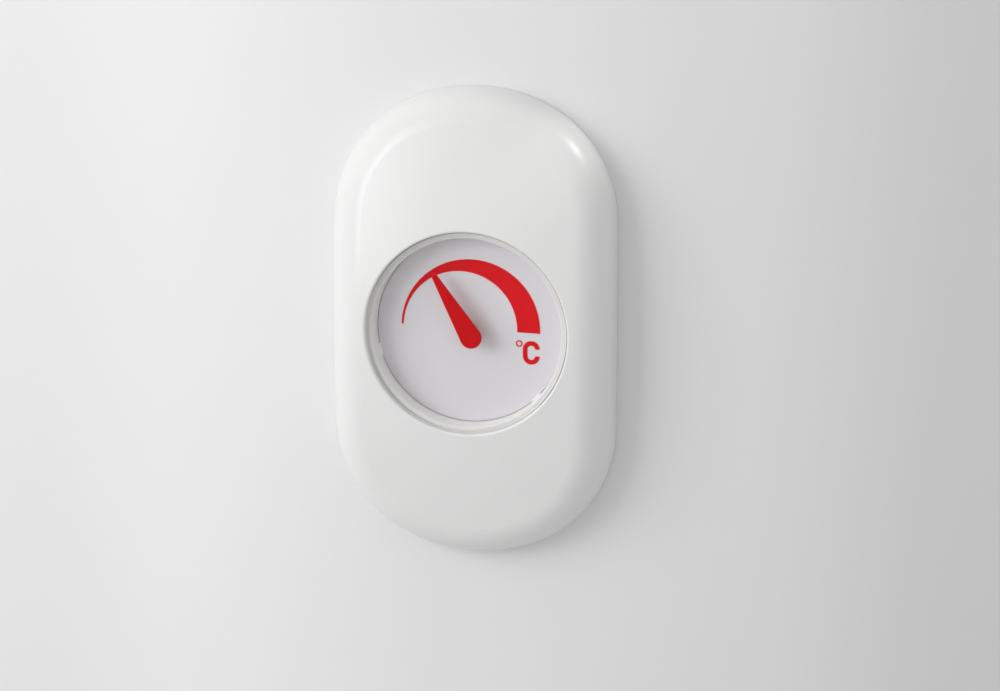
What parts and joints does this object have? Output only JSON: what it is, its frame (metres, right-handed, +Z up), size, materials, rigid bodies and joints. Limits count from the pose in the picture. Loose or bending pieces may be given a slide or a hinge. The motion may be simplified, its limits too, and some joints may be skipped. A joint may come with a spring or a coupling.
{
  "type": "wall temperature gauge",
  "caption": "Capsule-shaped white wall gauge with a round clear window, a red wedge scale and a red pointer that a bimetal coil turns to show temperature.",
  "frame": {"origin": "on the wall plane at the back, midway between the two wall-screw holes", "axes": "+Z up, the dial faces -Y, +X to the right as seen from the front"},
  "size_m": [0.0666, 0.0139, 0.1114],
  "materials": {
    "white_gloss": "gloss moulded plastic",
    "white_matte": "satin moulded plastic",
    "clear": "clear moulded crystal",
    "silicone": "pale silicone",
    "dial_paint": "pale matte paint",
    "red_ink": "printed ink",
    "red_plastic": "moulded red plastic",
    "aluminium": "turned",
    "brass": "turned",
    "steel": "zinc plated",
    "bimetal": "rolled bimetal strip"
  },
  "bodies": {
    "case": {"back_plate": "white_matte", "gauge_can": "white_matte", "flange_screws": "steel", "contact_plate": "aluminium", "rear_bush": "brass", "friction_washer": "steel", "pillars": "brass", "bridge": "steel", "front_bush": "brass", "bridge_screws": "steel", "dial_plate": "dial_paint", "scale_band": "red_ink", "unit_mark": "red_ink", "crystal_seal": "silicone", "crystal": "clear", "front_cover": "white_gloss"},
    "adjuster": {"calibration_lever": "steel", "anchor_pin": "brass", "bimetal_coil": "bimetal"},
    "pointer_body": {"pointer": "red_plastic", "spindle": "steel", "coil_collet": "brass"}
  },
  "joints": [
    {"name": "calibration_turn", "type": "hinge", "parent": "case", "child": "adjuster", "pos_m": [0, 0, -0.0003], "axis": [0, 1, 0], "range_deg": [-8, 8]},
    {"name": "pointer_turn", "type": "hinge", "parent": "adjuster", "child": "pointer_body", "pos_m": [0, 0, -0.0003], "axis": [0, 1, 0], "range_deg": [-58.8, 121.2], "stiffness_Nm_per_rad": 0.0005, "deforming": ["bimetal_coil"]}
  ]
}
